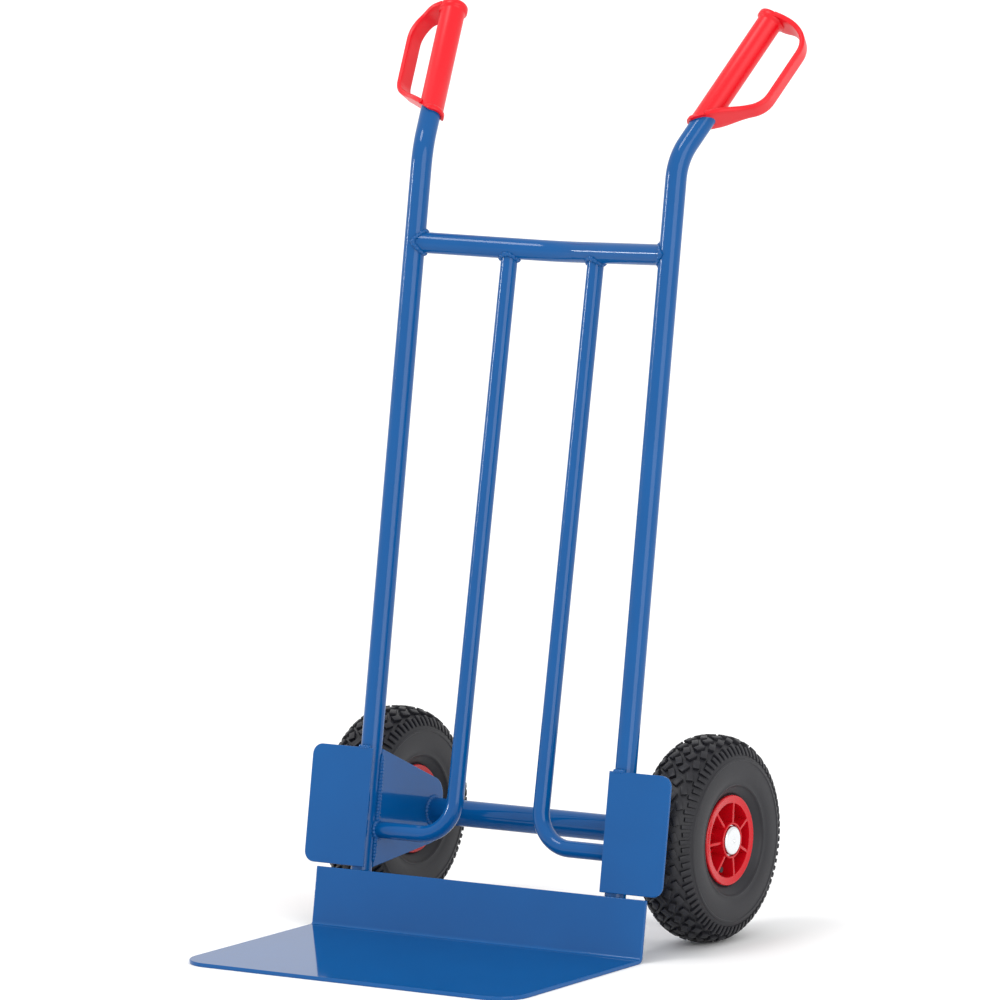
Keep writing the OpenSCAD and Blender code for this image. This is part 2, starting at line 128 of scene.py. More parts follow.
scene.view_settings.view_transform = "Standard"
scene.world = bpy.data.worlds.new("surroundings")
scene.world.use_nodes = True
scene.world.node_tree.nodes["Background"].inputs["Color"].default_value = (1, 1, 1, 1)
scene.world.node_tree.nodes["Background"].inputs["Strength"].default_value = SURROUNDINGS

# Matt emulsion, which takes soft shadows and mirrors nothing.
floor_paint, tree = new_material("matt_floor")
shader = add_node(tree, "ShaderNodeBsdfPrincipled", {
    "Base Color": colour(WHITE_FLOOR), "Roughness": 0.9, "Specular IOR Level": 0.2,
})
add_node(tree, "ShaderNodeOutputMaterial", {"Surface": shader.outputs["BSDF"]})

floor_mesh = bmesh.new()
bmesh.ops.create_grid(floor_mesh, x_segments=1, y_segments=1, size=FLOOR_HALF_W)
floor = bpy.data.objects.new("floor", bpy.data.meshes.new("floor"))
floor_mesh.to_mesh(floor.data)
floor_mesh.free()
floor.data.materials.append(floor_paint)
scene.collection.objects.link(floor)

for name, lamp in LAMPS.items():
    light = bpy.data.objects.new(name, bpy.data.lights.new(name, "SUN"))
    light.data.angle = radians(lamp["spread"])
    light.data.energy = lamp["strength"]
    light.matrix_world = Vector(lamp["from"]).to_track_quat("Z", "Y").to_matrix().to_4x4()
    scene.collection.objects.link(light)


# ---- Toe plate -----------------------------------------------------------
# One piece of 5 mm steel sheet with rounded front corners, folded up along its back
# edge, then powder coated in a glossy blue with the rest of the frame.

LEAN = 9.6
TOE_W, TOE_T, FLANGE_H = 488, 5, 73
FOLD_R, FOLD_STEPS, TOE_CORNER_R = 4, 10, 40
SHEET_EDGE = 1.0
BROAD = 5  # a face wider than this is flat, and keeps one shade

POWDER_BLUE = "#045392"
POWDER_BLUE_DEEP = "#044c88"
COAT_FLOW = 72  # the coat's tone drifts over this length
COAT_PEEL = 7.2  # real orange peel is finer, and is drawn coarse enough to show
COLOUR_A, COLOUR_B, COLOUR_OUT = 6, 7, 2  # the colour sockets of a Mix node


def new_verts(bm, before):
    """The vertices that a mesh has gained since a set of them was kept."""
    return [v for v in bm.verts if v not in before]


def step_out(made):
    """The moved end of an extruded or spun row: its vertices and its edges."""
    verts = {g for g in made if isinstance(g, bmesh.types.BMVert)}
    edges = [g for g in made if isinstance(g, bmesh.types.BMEdge) and verts.issuperset(g.verts)]
    return list(verts), edges


def sweep(bm, edges, moves):
    """Draws a row of edges along runs (vector, steps) and bends (centre, axis, angle, steps)."""
    for move in moves:
        if len(move) == 2:
            vector, steps = move
            for _ in range(steps):
                verts, edges = step_out(bmesh.ops.extrude_edge_only(bm, edges=edges)["geom"])
                bmesh.ops.translate(bm, verts=verts, vec=Vector(vector) / steps)
        else:
            centre, axis, angle, steps = move
            ends = {v for e in edges for v in e.verts}
            made = bmesh.ops.spin(bm, geom=list(ends) + edges, cent=centre, axis=axis,
                                  angle=radians(angle), steps=steps)["geom_last"]
            edges = step_out(made)[1]


def round_corner(bm, vert, radius):
    """Rounds one corner of a flat outline to a radius."""
    a, b = ((e.other_vert(vert).co - vert.co) for e in vert.link_edges)
    bmesh.ops.bevel(bm, geom=[vert], affect="VERTICES", offset=radius / tan(a.angle(b) / 2),
                    offset_type="OFFSET", segments=8, profile=0.5, material=-1)


def round_edges(bm, width, sharper_than=40):
    """Rounds every edge of a closed mesh that is sharper than an angle in degrees."""
    edges = [e for e in bm.edges if e.is_manifold and e.calc_face_angle() > radians(sharper_than)]
    bmesh.ops.bevel(bm, geom=edges, affect="EDGES", offset=width, offset_type="OFFSET",
                    segments=3, profile=0.5, material=-1, clamp_overlap=True)


def thicken(bm, wall):
    """Gives an open shell a wall on its inner side."""
    bmesh.ops.remove_doubles(bm, verts=bm.verts, dist=0.01)
    bmesh.ops.recalc_face_normals(bm, faces=bm.faces)
    bmesh.ops.solidify(bm, geom=bm.faces[:], thickness=wall)


def add_piece(name, bm, material, body, stands_for=(), crease=40):
    """Turns a mesh in millimetres into a finished piece that rides on a body."""
    for face in bm.faces:
        face.smooth = face.calc_area() < BROAD * face.calc_perimeter() / 2
    for edge in bm.edges:
        angle = degrees(edge.calc_face_angle(0))
        edge.smooth = angle < (crease if all(f.smooth for f in edge.link_faces) else 1)
    bmesh.ops.scale(bm, verts=bm.verts, vec=(MM, MM, MM))
    piece = bpy.data.objects.new(name, bpy.data.meshes.new(name))
    bm.to_mesh(piece.data)
    bm.free()
    piece.data.materials.append(material)
    scene.collection.objects.link(piece)
    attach(piece, body)
    if stands_for:
        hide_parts(*stands_for)


def add_both_sides(stem, bm, material, body, stands_for=(), crease=40):
    """Adds a right-hand piece and its mirror image on the left."""
    for side, sign in (("right", 1), ("left", -1)):
        half = bm.copy()
        if sign < 0:
            bmesh.ops.scale(half, verts=half.verts, vec=(-1, 1, 1))
            bmesh.ops.reverse_faces(half, faces=half.faces)
        on_body = body if body == "frame" else f"{body}_{side}"
        add_piece(f"{stem}_{side}", half, material, on_body,
                  [f"{node}_{side}" for node in stands_for], crease)
    bm.free()


# Powder coat, a polyester enamel baked on: glossy, with a faint orange peel.
powder_coat, tree = new_material("blue_powder_coat")
place = add_node(tree, "ShaderNodeTexCoord").outputs["Object"]
flow = add_node(tree, "ShaderNodeTexNoise", {
    "Vector": place, "Scale": 1 / (COAT_FLOW * MM), "Detail": 2.0,
})
peel = add_node(tree, "ShaderNodeTexNoise", {
    "Vector": place, "Scale": 1 / (COAT_PEEL * MM), "Detail": 1.0,
})
tone = add_node(tree, "ShaderNodeMix", {
    "Factor": flow.outputs["Fac"],
    COLOUR_A: colour(POWDER_BLUE_DEEP), COLOUR_B: colour(POWDER_BLUE),
}, data_type="RGBA")
skin = add_node(tree, "ShaderNodeBump", {
    "Height": peel.outputs["Fac"], "Strength": 0.06, "Distance": 0.0002,
})
shader = add_node(tree, "ShaderNodeBsdfPrincipled", {
    "Base Color": tone.outputs[COLOUR_OUT], "Roughness": 0.07, "Specular IOR Level": 0.3,
    "Normal": skin.outputs["Normal"],
})
add_node(tree, "ShaderNodeOutputMaterial", {"Surface": shader.outputs["BSDF"]})

fold_l = FOLD_R * tan(radians(90 - LEAN) / 2)
toe = bmesh.new()
front = [toe.verts.new((x, -TOE_DEPTH, 0)) for x in (-TOE_W / 2, TOE_W / 2)]
sweep(toe, [toe.edges.new(front)], [
    ((0, TOE_DEPTH - fold_l, 0), 1),
    ((0, -fold_l, TOE_T + FOLD_R), (1, 0, 0), 90 - LEAN, FOLD_STEPS),
    (Vector((0, sin(radians(LEAN)), cos(radians(LEAN)))) * (FLANGE_H - fold_l), 1),
])
for corner in front:
    round_corner(toe, corner, TOE_CORNER_R)
thicken(toe, TOE_T)
bmesh.ops.recalc_face_normals(toe, faces=toe.faces)
round_edges(toe, SHEET_EDGE)
bmesh.ops.translate(toe, verts=toe.verts, vec=(0, fold_y, 0))
add_piece("toe_sheet", toe, powder_coat, "frame", ["toe_plate"])


# ---- Uprights ------------------------------------------------------------
# Two 26.9 mm steel tubes that lean back behind the toe plate. Each is bent back and
# outwards near its top, where the grip is pushed on.

TUBE_R, TUBE_WALL = 26.9 / 2, 2.3
UPRIGHT_X, FOOT_GAP = 188.6, 4
BEND_V, BEND_R, BEND_A, BEND_TURN, HANDLE_L = 963, 80, 34, 22.4, 199
ROUND, BEND_STEPS = 48, 14

# In the leaned frame x runs across the truck, y behind it and z up along the uprights.
lean_tilt = radians(LEAN)
leaned = Matrix.Translation((0, fold_y, TOE_T)) @ Matrix.Rotation(-lean_tilt, 4, "X")
upright_w = TOE_T + TUBE_R
inner_x = UPRIGHT_X - TUBE_R
foot_v = (FOOT_GAP - TOE_T + (TOE_T + 2 * TUBE_R) * sin(lean_tilt)) / cos(lean_tilt)
bend_to = Vector((sin(radians(BEND_TURN)), cos(radians(BEND_TURN)), 0))
handle_way = Vector((0, 0, cos(radians(BEND_A)))) + bend_to * sin(radians(BEND_A))


def tube(radius, place, moves):
    """An open tube skin that starts square to the place's z axis."""
    bm = bmesh.new()
    bmesh.ops.create_circle(bm, cap_ends=False, radius=radius, segments=ROUND, matrix=place)
    sweep(bm, bm.edges[:], moves)
    return bm


upright = tube(TUBE_R, Matrix.Translation((UPRIGHT_X, upright_w, foot_v)), [
    ((0, 0, BEND_V - foot_v), 1),
    (Vector((UPRIGHT_X, upright_w, BEND_V)) + bend_to * BEND_R,
     Vector((0, 0, 1)).cross(bend_to), BEND_A, BEND_STEPS),
    (handle_way * HANDLE_L, 1),
])
thicken(upright, TUBE_WALL)
bmesh.ops.transform(upright, matrix=leaned, verts=upright.verts)
add_both_sides("upright_tube", upright, powder_coat, "frame", ["upright"])


# ---- Cross bar -----------------------------------------------------------
# A length of the same tube, bent back in its middle to clear a round load. Its ends
# are cut to the shape of the uprights and welded to them.

CROSS_V, CROSS_SLOPE, CROSS_R = 868, 13.5, 150

slope = radians(CROSS_SLOPE)
half_run = (UPRIGHT_X - CROSS_R * sin(slope)) / cos(slope)
left_end = Vector((-UPRIGHT_X, upright_w, CROSS_V))
into_bar = Vector((cos(slope), sin(slope), 0))
out_of_bar = Vector((cos(slope), -sin(slope), 0))
facing = Matrix.Rotation(slope, 4, "Z") @ Matrix.Rotation(pi / 2, 4, "Y")
bar = tube(TUBE_R, Matrix.Translation(left_end) @ facing, [
    (into_bar * half_run, 1),
    (left_end + into_bar * half_run + CROSS_R * Vector((sin(slope), -cos(slope), 0)),
     (0, 0, -1), 2 * CROSS_SLOPE, BEND_STEPS),
    (out_of_bar * half_run, 1),
])
thicken(bar, TUBE_WALL)
bmesh.ops.transform(bar, matrix=leaned, verts=bar.verts)
add_piece("cross_bar_tube", bar, powder_coat, "frame", ["cross_bar"])


# ---- Centre rails --------------------------------------------------------
# Two thinner tubes that hang from the cross bar and carry the load's middle. Each
# turns outwards at its lower end and is welded to an upright and its bracket.

RAIL_R, RAIL_WALL = 21.3 / 2, 2
RAIL_X, RAIL_V, RAIL_SETBACK = 64, 125.5, 10
RAIL_BEND_R, RAIL_BEND_STEPS = 46, 16

rail_w = upright_w + RAIL_SETBACK
rail_top_w = upright_w + tan(slope) * (UPRIGHT_X - RAIL_X)
rail_tilt = atan((rail_top_w - rail_w) / (CROSS_V - RAIL_V))
rail_h = (CROSS_V - RAIL_V) / cos(rail_tilt)
rail_place = (leaned @ Matrix.Translation((0, rail_w, RAIL_V))
              @ Matrix.Rotation(-rail_tilt, 4, "X"))
rail_top = rail_h - TUBE_R / 2
rail = tube(RAIL_R, Matrix.Translation((RAIL_X, 0, rail_top)), [
    ((0, 0, RAIL_BEND_R - rail_top), 1),
    ((RAIL_X + RAIL_BEND_R, 0, RAIL_BEND_R), (0, -1, 0), 90, RAIL_BEND_STEPS),
    ((inner_x + TUBE_WALL - RAIL_X - RAIL_BEND_R, 0, 0), 1),
])
thicken(rail, RAIL_WALL)
bmesh.ops.transform(rail, matrix=rail_place, verts=rail.verts)
add_both_sides("rail_tube", rail, powder_coat, "frame", ["centre_rail"])


# ---- Guard plates and axle brackets --------------------------------------
# Flat pieces cut from sheet. The guard plates keep a load off the tyres, and the
# brackets stand behind the uprights and hold the axle.

GUARD_W, GUARD_H, GUARD_T, GUARD_GAP, GUARD_CORNER_R = 90, 150, 4, 4.5, 14
GUARD_EDGE_R = 1
BRACKET_T, BRACKET_SET = 5, 0.4  # set behind the uprights' axis, in tube radii
NOSE_H, NOSE_R, NOSE_REACH = 37, 24, 19.5
AXLE_BACK = 177

guard_v = FLANGE_H + GUARD_GAP
axle_z = (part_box("axle_rod")[0][2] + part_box("axle_rod")[1][2]) / 2 / MM
axle_y = fold_y + AXLE_BACK
axle_w = AXLE_BACK * cos(lean_tilt) - (axle_z - TOE_T) * sin(lean_tilt)
axle_v = AXLE_BACK * sin(lean_tilt) + (axle_z - TOE_T) * cos(lean_tilt)


def plate(outline, radii, thickness):
    """A flat plate from its corners, their radii and the vector of its thickness."""
    bm = bmesh.new()
    corners = [bm.verts.new(p) for p in outline]
    face = bm.faces.new(corners)
    for corner, radius in zip(corners, radii):
        if radius:
            round_corner(bm, corner, radius)
    made = bmesh.ops.extrude_face_region(bm, geom=bm.faces[:])["geom"]
    bmesh.ops.translate(bm, verts=step_out(made)[0], vec=thickness)
    bmesh.ops.recalc_face_normals(bm, faces=bm.faces)
    round_edges(bm, SHEET_EDGE)
    bmesh.ops.transform(bm, matrix=leaned, verts=bm.verts)
    return bm


guard = plate([
    (inner_x, TOE_T, guard_v), (inner_x + GUARD_W, TOE_T, guard_v),
    (inner_x + GUARD_W, TOE_T, guard_v + GUARD_H), (inner_x, TOE_T, guard_v + GUARD_H),
], (GUARD_EDGE_R, GUARD_CORNER_R, GUARD_CORNER_R, GUARD_EDGE_R), (0, -GUARD_T, 0))
add_both_sides("guard_sheet", guard, powder_coat, "frame", ["guard_plate"])

bracket_w = upright_w + BRACKET_SET * TUBE_R
bracket = plate([
    (inner_x, bracket_w, guard_v), (inner_x, axle_w + NOSE_REACH, axle_v - NOSE_H),
    (inner_x, axle_w + NOSE_REACH, axle_v + NOSE_H), (inner_x, bracket_w, guard_v + GUARD_H),
], (0, NOSE_R, NOSE_R, 0), (BRACKET_T, 0, 0))
add_both_sides("bracket_sheet", bracket, powder_coat, "frame", ["axle_bracket"])


# ---- Axle tube -----------------------------------------------------------
# A stout tube between the brackets, which keeps them square and hides the axle rod.

AXLE_TUBE_R, AXLE_TUBE_WALL = 33.7 / 2, 2.6

axle_sleeve = tube(AXLE_TUBE_R, Matrix.Translation((-inner_x, axle_y, axle_z))
                   @ Matrix.Rotation(pi / 2, 4, "Y"), [((2 * inner_x, 0, 0), 1)])
thicken(axle_sleeve, AXLE_TUBE_WALL)
add_piece("axle_sleeve", axle_sleeve, powder_coat, "frame", ["axle_tube"])


# ---- Weld beads ----------------------------------------------------------
# Short runs of weld metal, laid in overlapping drops and then coated with the frame.

BEAD_R, BEAD_SIDES = 3.5, 10
DROP, DROP_STEPS, LUMP = 4.2, 4, 0.17  # a drop's length, its rows, and its share of the radius
WANDER = 0.08  # how much a hand-laid ring swells and thins


def weld_ring(bm, place, root_r, saddle_r=0):
    """A bead round a tube of radius root_r, which stands along z on a tube along x."""
    before = set(bm.verts)
    start = Matrix.Translation((root_r, 0, 0)) @ Matrix.Rotation(pi / 2, 4, "X")
    bmesh.ops.create_circle(bm, cap_ends=False, radius=BEAD_R, segments=BEAD_SIDES, matrix=start)
    ring = new_verts(bm, before)
    edges = [e for e in bm.edges if e.verts[0] in ring]
    steps = DROP_STEPS * round(2 * pi * root_r / DROP)
    bmesh.ops.spin(bm, geom=ring + edges, cent=(0, 0, 0), axis=(0, 0, 1), angle=2 * pi,
                   steps=steps, use_merge=True)
    for vert in new_verts(bm, before):
        turn = atan2(vert.co.y, vert.co.x)
        centre = Vector((cos(turn), sin(turn), 0)) * root_r
        drop = 1 + LUMP * cos(turn * steps / DROP_STEPS) + WANDER * sin(3 * turn + root_r)
        vert.co = centre + (vert.co - centre) * drop
        if saddle_r:
            vert.co.z += sqrt(max(saddle_r ** 2 - (root_r * sin(turn)) ** 2, 0))
    bmesh.ops.transform(bm, matrix=place, verts=new_verts(bm, before))


def weld_line(bm, start, end):
    """A straight bead between two points, with its ends drawn to a point."""
    start, end = Vector(start), Vector(end)
    length = (end - start).length
    before = set(bm.verts)
    bmesh.ops.create_circle(bm, cap_ends=False, radius=BEAD_R, segments=BEAD_SIDES)
    ring = new_verts(bm, before)
    edges = [e for e in bm.edges if e.verts[0] in ring]
    sweep(bm, edges, [((0, 0, length), DROP_STEPS * round(length / DROP))])
    for vert in new_verts(bm, before):
        along = vert.co.z / length
        ends = max(1 - abs(2 * along - 1) ** 10, 0) ** 0.5
        drop = ends * (1 + LUMP * cos(2 * pi * vert.co.z / DROP))
        vert.co = Vector((vert.co.x * drop, vert.co.y * drop, vert.co.z))
    place = Matrix.Translation(start) @ (end - start).to_track_quat("Z", "Y").to_matrix().to_4x4()
    bmesh.ops.transform(bm, matrix=place, verts=new_verts(bm, before))


def facing_place(spot, along, across):
    """A place at spot whose z runs along a branch and whose x runs along the main tube."""
    z = Vector(along).normalized()
    y = z.cross(Vector(across)).normalized()
    x = y.cross(z)
    return Matrix.Translation(spot) @ Matrix((x, y, z)).transposed().to_4x4()


welds = bmesh.new()
bar_end = facing_place((UPRIGHT_X, upright_w, CROSS_V), (-cos(slope), sin(slope), 0), (0, 0, 1))
rail_head = facing_place((RAIL_X, rail_top_w, CROSS_V),
                         (0, -sin(rail_tilt), -cos(rail_tilt)), out_of_bar)
rail_foot = facing_place((inner_x, 0, 0), (-1, 0, 0), (0, 0, 1))
axle_end = facing_place((inner_x, axle_y, axle_z), (-1, 0, 0), (0, 0, 1))
weld_ring(welds, leaned @ bar_end, TUBE_R, TUBE_R + 0.1)
weld_ring(welds, leaned @ rail_head, RAIL_R, TUBE_R)
weld_ring(welds, rail_place @ rail_foot, RAIL_R)
weld_ring(welds, axle_end, AXLE_TUBE_R)

# Straight beads, as x across, depth and height of each end in the leaned frame.
guard_run, flange_run, bracket_run = (
    (guard_v + 2, guard_v + GUARD_H - 2), (foot_v + 12, FLANGE_H - 6),
    (guard_v + 6, guard_v + GUARD_H - 6),
)
for x, w, run in (
    (UPRIGHT_X - 5.5, TOE_T + 0.6, guard_run), (UPRIGHT_X + 8.5, TOE_T + 2.5, guard_run),
    (UPRIGHT_X + 8.5, TOE_T + 2.5, flange_run), (UPRIGHT_X - 8.5, TOE_T + 2.5, flange_run),
    (inner_x + BRACKET_T, bracket_w + 3.0, bracket_run), (inner_x, bracket_w + 0.2, bracket_run),
):
    weld_line(welds, *(leaned @ Vector((x, w, v)) for v in run))
weld_line(welds, *(leaned @ Vector((x, TOE_T - 1, guard_v + GUARD_H))
                   for x in (UPRIGHT_X - 9, UPRIGHT_X + 9)))
bmesh.ops.remove_doubles(welds, verts=welds.verts, dist=0.005)
bmesh.ops.recalc_face_normals(welds, faces=welds.faces)
add_both_sides("weld_beads", welds, powder_coat, "frame", crease=60)


# ---- Grips ---------------------------------------------------------------
# Each is one moulding of red polypropylene, pushed over the end of an upright: a
# sleeve with a collar and an end cap, and a strap that guards the knuckles.

GRIP_R, GRIP_START, GRIP_CAP_H, GRIP_CAP_R = 31.5 / 2, 26, 7, 18.5
GRIP_ROUND = 64
GUARD_REACH, GUARD_RISE, ARM_SLOPE, GUARD_TURN = 63.5, 7, 38.9, 33.8
LEG_T, LEG_W, LOW_R, HIGH_R = 6.5, 21, 35, 36
ARM_ROOT, TAPER_IN, TAPER_OUT = 6, GRIP_CAP_R - 4, GUARD_REACH - 16
LIP_W, LIP_H, LIP_EDGE = 0.36 * LEG_T, 1.5, 0.9
MOUTH_CUT_H, MOUTH_GAP = 12, 0.2

GRIP_RED = "#e20c1e"
GRIP_RED_DEEP = "#d40819"
GRIP_CLOUD = 40  # the tone drifts over this length
MOULD_GRAIN = 0.9  # a real spark-eroded grain is finer, and is drawn coarse enough to show


def absorb(bm, other):
    """Moves another mesh's faces into a mesh."""
    carried = bpy.data.meshes.new("carried")
    other.to_mesh(carried)
    other.free()
    bm.from_mesh(carried)
    bpy.data.meshes.remove(carried)


def lathe(section, steps, closed=False):
    """Spins a section of (radius, height) points about z."""
    bm = bmesh.new()
    verts = [bm.verts.new((r, 0, z)) for r, z in section]
    edges = [bm.edges.new(pair) for pair in zip(verts, verts[1:])]
    if closed:
        edges.append(bm.edges.new((verts[-1], verts[0])))
    bmesh.ops.spin(bm, geom=verts + edges, cent=(0, 0, 0), axis=(0, 0, 1), angle=2 * pi,
                   steps=steps, use_merge=True)
    bmesh.ops.remove_doubles(bm, verts=bm.verts, dist=0.01)
    bmesh.ops.recalc_face_normals(bm, faces=bm.faces)
    return bm


# Polypropylene with a fine spark-eroded grain, which makes its gloss soft.
grip_plastic, tree = new_material("red_moulded_polypropylene")
place = add_node(tree, "ShaderNodeTexCoord").outputs["Object"]
cloud = add_node(tree, "ShaderNodeTexNoise", {
    "Vector": place, "Scale": 1 / (GRIP_CLOUD * MM), "Detail": 3.0,
})
grain = add_node(tree, "ShaderNodeTexNoise", {
    "Vector": place, "Scale": 1 / (MOULD_GRAIN * MM), "Detail": 2.0,
})
tone = add_node(tree, "ShaderNodeMix", {
    "Factor": cloud.outputs["Fac"], COLOUR_A: colour(GRIP_RED_DEEP), COLOUR_B: colour(GRIP_RED),
}, data_type="RGBA")
skin = add_node(tree, "ShaderNodeBump", {
    "Height": grain.outputs["Fac"], "Strength": 0.25, "Distance": 0.0002,
})
shader = add_node(tree, "ShaderNodeBsdfPrincipled", {
    "Base Color": tone.outputs[COLOUR_OUT], "Roughness": 0.34, "Specular IOR Level": 0.35,
    "Normal": skin.outputs["Normal"],
})
add_node(tree, "ShaderNodeOutputMaterial", {"Surface": shader.outputs["BSDF"]})

# The sleeve's section runs from the mouth and its collar to the end cap.
grip_end = HANDLE_L + GRIP_CAP_H
cap_z = HANDLE_L - 2
sleeve = lathe([
    (TUBE_R, GRIP_START + 4), (TUBE_R + 0.2, GRIP_START + 0.4), (TUBE_R + 0.8, GRIP_START),
    (GRIP_CAP_R - 1.2, GRIP_START), (GRIP_CAP_R - 0.5, GRIP_START + 0.8),
    (GRIP_CAP_R - 0.5, GRIP_START + 5), (GRIP_CAP_R - 1.1, GRIP_START + 6.2),
    (GRIP_R + 0.5, GRIP_START + 7.4), (GRIP_R, GRIP_START + 9), (GRIP_R, cap_z - 3),
    (GRIP_R + 0.4, cap_z - 1.2), (GRIP_CAP_R - 0.8, cap_z), (GRIP_CAP_R, cap_z + 1),
    (GRIP_CAP_R, grip_end - 1.8), (GRIP_CAP_R - 0.7, grip_end - 0.6), (GRIP_CAP_R - 2.2, grip_end),
    (0, grip_end + 0.5),
], GRIP_ROUND)

# The sleeve's mouth is cut back along the under side of the strap's lower arm.
arm_tilt = radians(ARM_SLOPE)
guard_z = GRIP_START + GUARD_RISE
strap_way = Vector((cos(radians(GUARD_TURN)), sin(radians(GUARD_TURN)), 0))
for vert in sleeve.verts:
    if vert.co.z < GRIP_START + MOUTH_CUT_H:
        cut_z = guard_z + vert.co.dot(strap_way) * tan(arm_tilt) + MOUTH_GAP
        vert.co.z = max(vert.co.z, cut_z)

# The strap is drawn in its own plane: x out from the sleeve, z along it, y across.
arm_way = Vector((cos(arm_tilt), 0, sin(arm_tilt)))
arm_start = Vector((ARM_ROOT, 0, guard_z + ARM_ROOT * tan(arm_tilt)))
knee_trim = LOW_R * tan((pi / 2 - arm_tilt) / 2)
arm_l = (GUARD_REACH - arm_start.x) / cos(arm_tilt) - knee_trim
knee = arm_start + arm_way * arm_l
knee_z = arm_start.z + (GUARD_REACH - arm_start.x) * tan(arm_tilt)
leg_l = grip_end - HIGH_R - (knee_z + knee_trim)
strap = bmesh.new()
foot = [strap.verts.new((arm_start.x, y, arm_start.z)) for y in (-1, -0.5, 0, 0.5, 1)]
sweep(strap, [strap.edges.new(pair) for pair in zip(foot, foot[1:])], [
    (arm_way * arm_l, 8),
    (knee + LOW_R * Vector((-sin(arm_tilt), 0, cos(arm_tilt))), (0, -1, 0), 90 - ARM_SLOPE, 10),
    ((0, 0, leg_l), 6),
    ((GUARD_REACH - HIGH_R, 0, grip_end - HIGH_R), (0, -1, 0), 90, 14),
    ((HIGH_R + ARM_ROOT - GUARD_REACH, 0, 0), 5),
])
for vert in strap.verts:
    reach = min(max((vert.co.x - TAPER_IN) / (TAPER_OUT - TAPER_IN), 0), 1)
    reach = reach * reach * (3 - 2 * reach)
    vert.co.y *= (GRIP_CAP_R - 0.5) * (1 - reach) + LEG_W / 2 * reach
thicken(strap, LEG_T)
bmesh.ops.recalc_face_normals(strap, faces=strap.faces)

# A rib stands up along the middle of each of the strap's narrow sides.
narrow = [f for f in strap.faces if abs(f.normal.y) > 0.8]
bmesh.ops.inset_region(strap, faces=narrow, thickness=LIP_W, use_even_offset=True)
for vert in {v for f in narrow for v in f.verts}:
    vert.co.y += copysign(LIP_H, vert.co.y)
round_edges(strap, LIP_EDGE, sharper_than=55)

at_handle = (
    leaned @ Matrix.Translation((UPRIGHT_X, upright_w, BEND_V))
    @ Matrix.Rotation(-radians(BEND_TURN), 4, "Z")
    @ Matrix.Translation((0, BEND_R * (1 - cos(radians(BEND_A))), BEND_R * sin(radians(BEND_A))))
    @ Matrix.Rotation(-radians(BEND_A), 4, "X")
)
strap_turn = Matrix.Rotation(radians(GUARD_TURN), 4, "Z")
bmesh.ops.transform(strap, matrix=strap_turn, verts=strap.verts)
absorb(sleeve, strap)
bmesh.ops.transform(sleeve, matrix=at_handle, verts=sleeve.verts)
add_both_sides("moulded_grip", sleeve, grip_plastic, "frame", ["grip"], crease=50)


# ---- Tyres ---------------------------------------------------------------
# Black rubber with a cross-country tread: staggered blocks over the crown and short
# lugs on the shoulders, above a smooth sidewall with a raised ring.

TYRE_R, TYRE_HALF_W, SEAT_R = 130, 41, 50.5
TREAD_T, SIDE_T = 7, 3.5
SQUARENESS, SECTION_END = 0.8, 143  # of the rounded section, and where its half ends
TREAD_DEPTH, SIDE_DEPTH, TREAD_EDGE = 4.2, 1.1, 49
HEEL_Z, HEEL_IN = 27.6, SEAT_R / 3.4
PITCHES, COLUMN_GAP = 38, 12.6
BLOCK_W, BLOCK_ROOT, BLOCK_EDGE = 8.4, 0.8, 0.9
BLOCKS = ((0, 30, 13.5), (1, -26, 13), (-1, -26, 13), (2, 22, 12.5), (-2, 22, 12.5))
LUG_W, LUG_L, LUG_SHORTER, LUG_TURN = 6.0, 15.5, 3, 8
TYRE_ROUND = 120

TYRE_BLACK = "#121216"
TYRE_GREY = "#222228"
DUST_SPREAD = 71.4  # the wiped patches are about this long
RUBBER_GRAIN = 0.8  # drawn coarse enough to show

wheel_x = (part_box("tyre_right")[0][0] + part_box("tyre_right")[1][0]) / 2 / MM
wheel_place = Matrix.Translation((wheel_x, axle_y, axle_z)) @ Matrix(
    ((0, 0, 1, 0), (1, 0, 0, 0), (0, 1, 0, 0), (0, 0, 0, 1)))
mid_r = (TYRE_R + SEAT_R) / 2
half_h = TYRE_R - mid_r


def section_point(turn, half_w, half_high):
    """A point of the tyre's rounded section, as radius and height."""
    c, s = cos(turn), sin(turn)
    return (mid_r + copysign(half_high * abs(c) ** SQUARENESS, c),
            copysign(half_w * abs(s) ** SQUARENESS, s))


turns = np.radians(np.arange(SECTION_END))
outline = np.array([section_point(t, TYRE_HALF_W, half_h) for t in turns])
lengths = np.concatenate([[0], np.cumsum(np.hypot(*np.diff(outline, axis=0).T))])


def on_section(v, sink):
    """Radius and height at v mm across from the crown, sunk below the surface."""
    turn = float(np.interp(abs(v), lengths, turns))
    r, z = section_point(turn, TYRE_HALF_W, half_h)
    power = 2 / SQUARENESS - 1
    out = Vector((
        copysign(abs((r - mid_r) / half_h) ** power / half_h, r - mid_r),
        (z / TYRE_HALF_W) ** power / TYRE_HALF_W,
    )).normalized()
    return r - out.x * sink, copysign(z - out.y * sink, v)


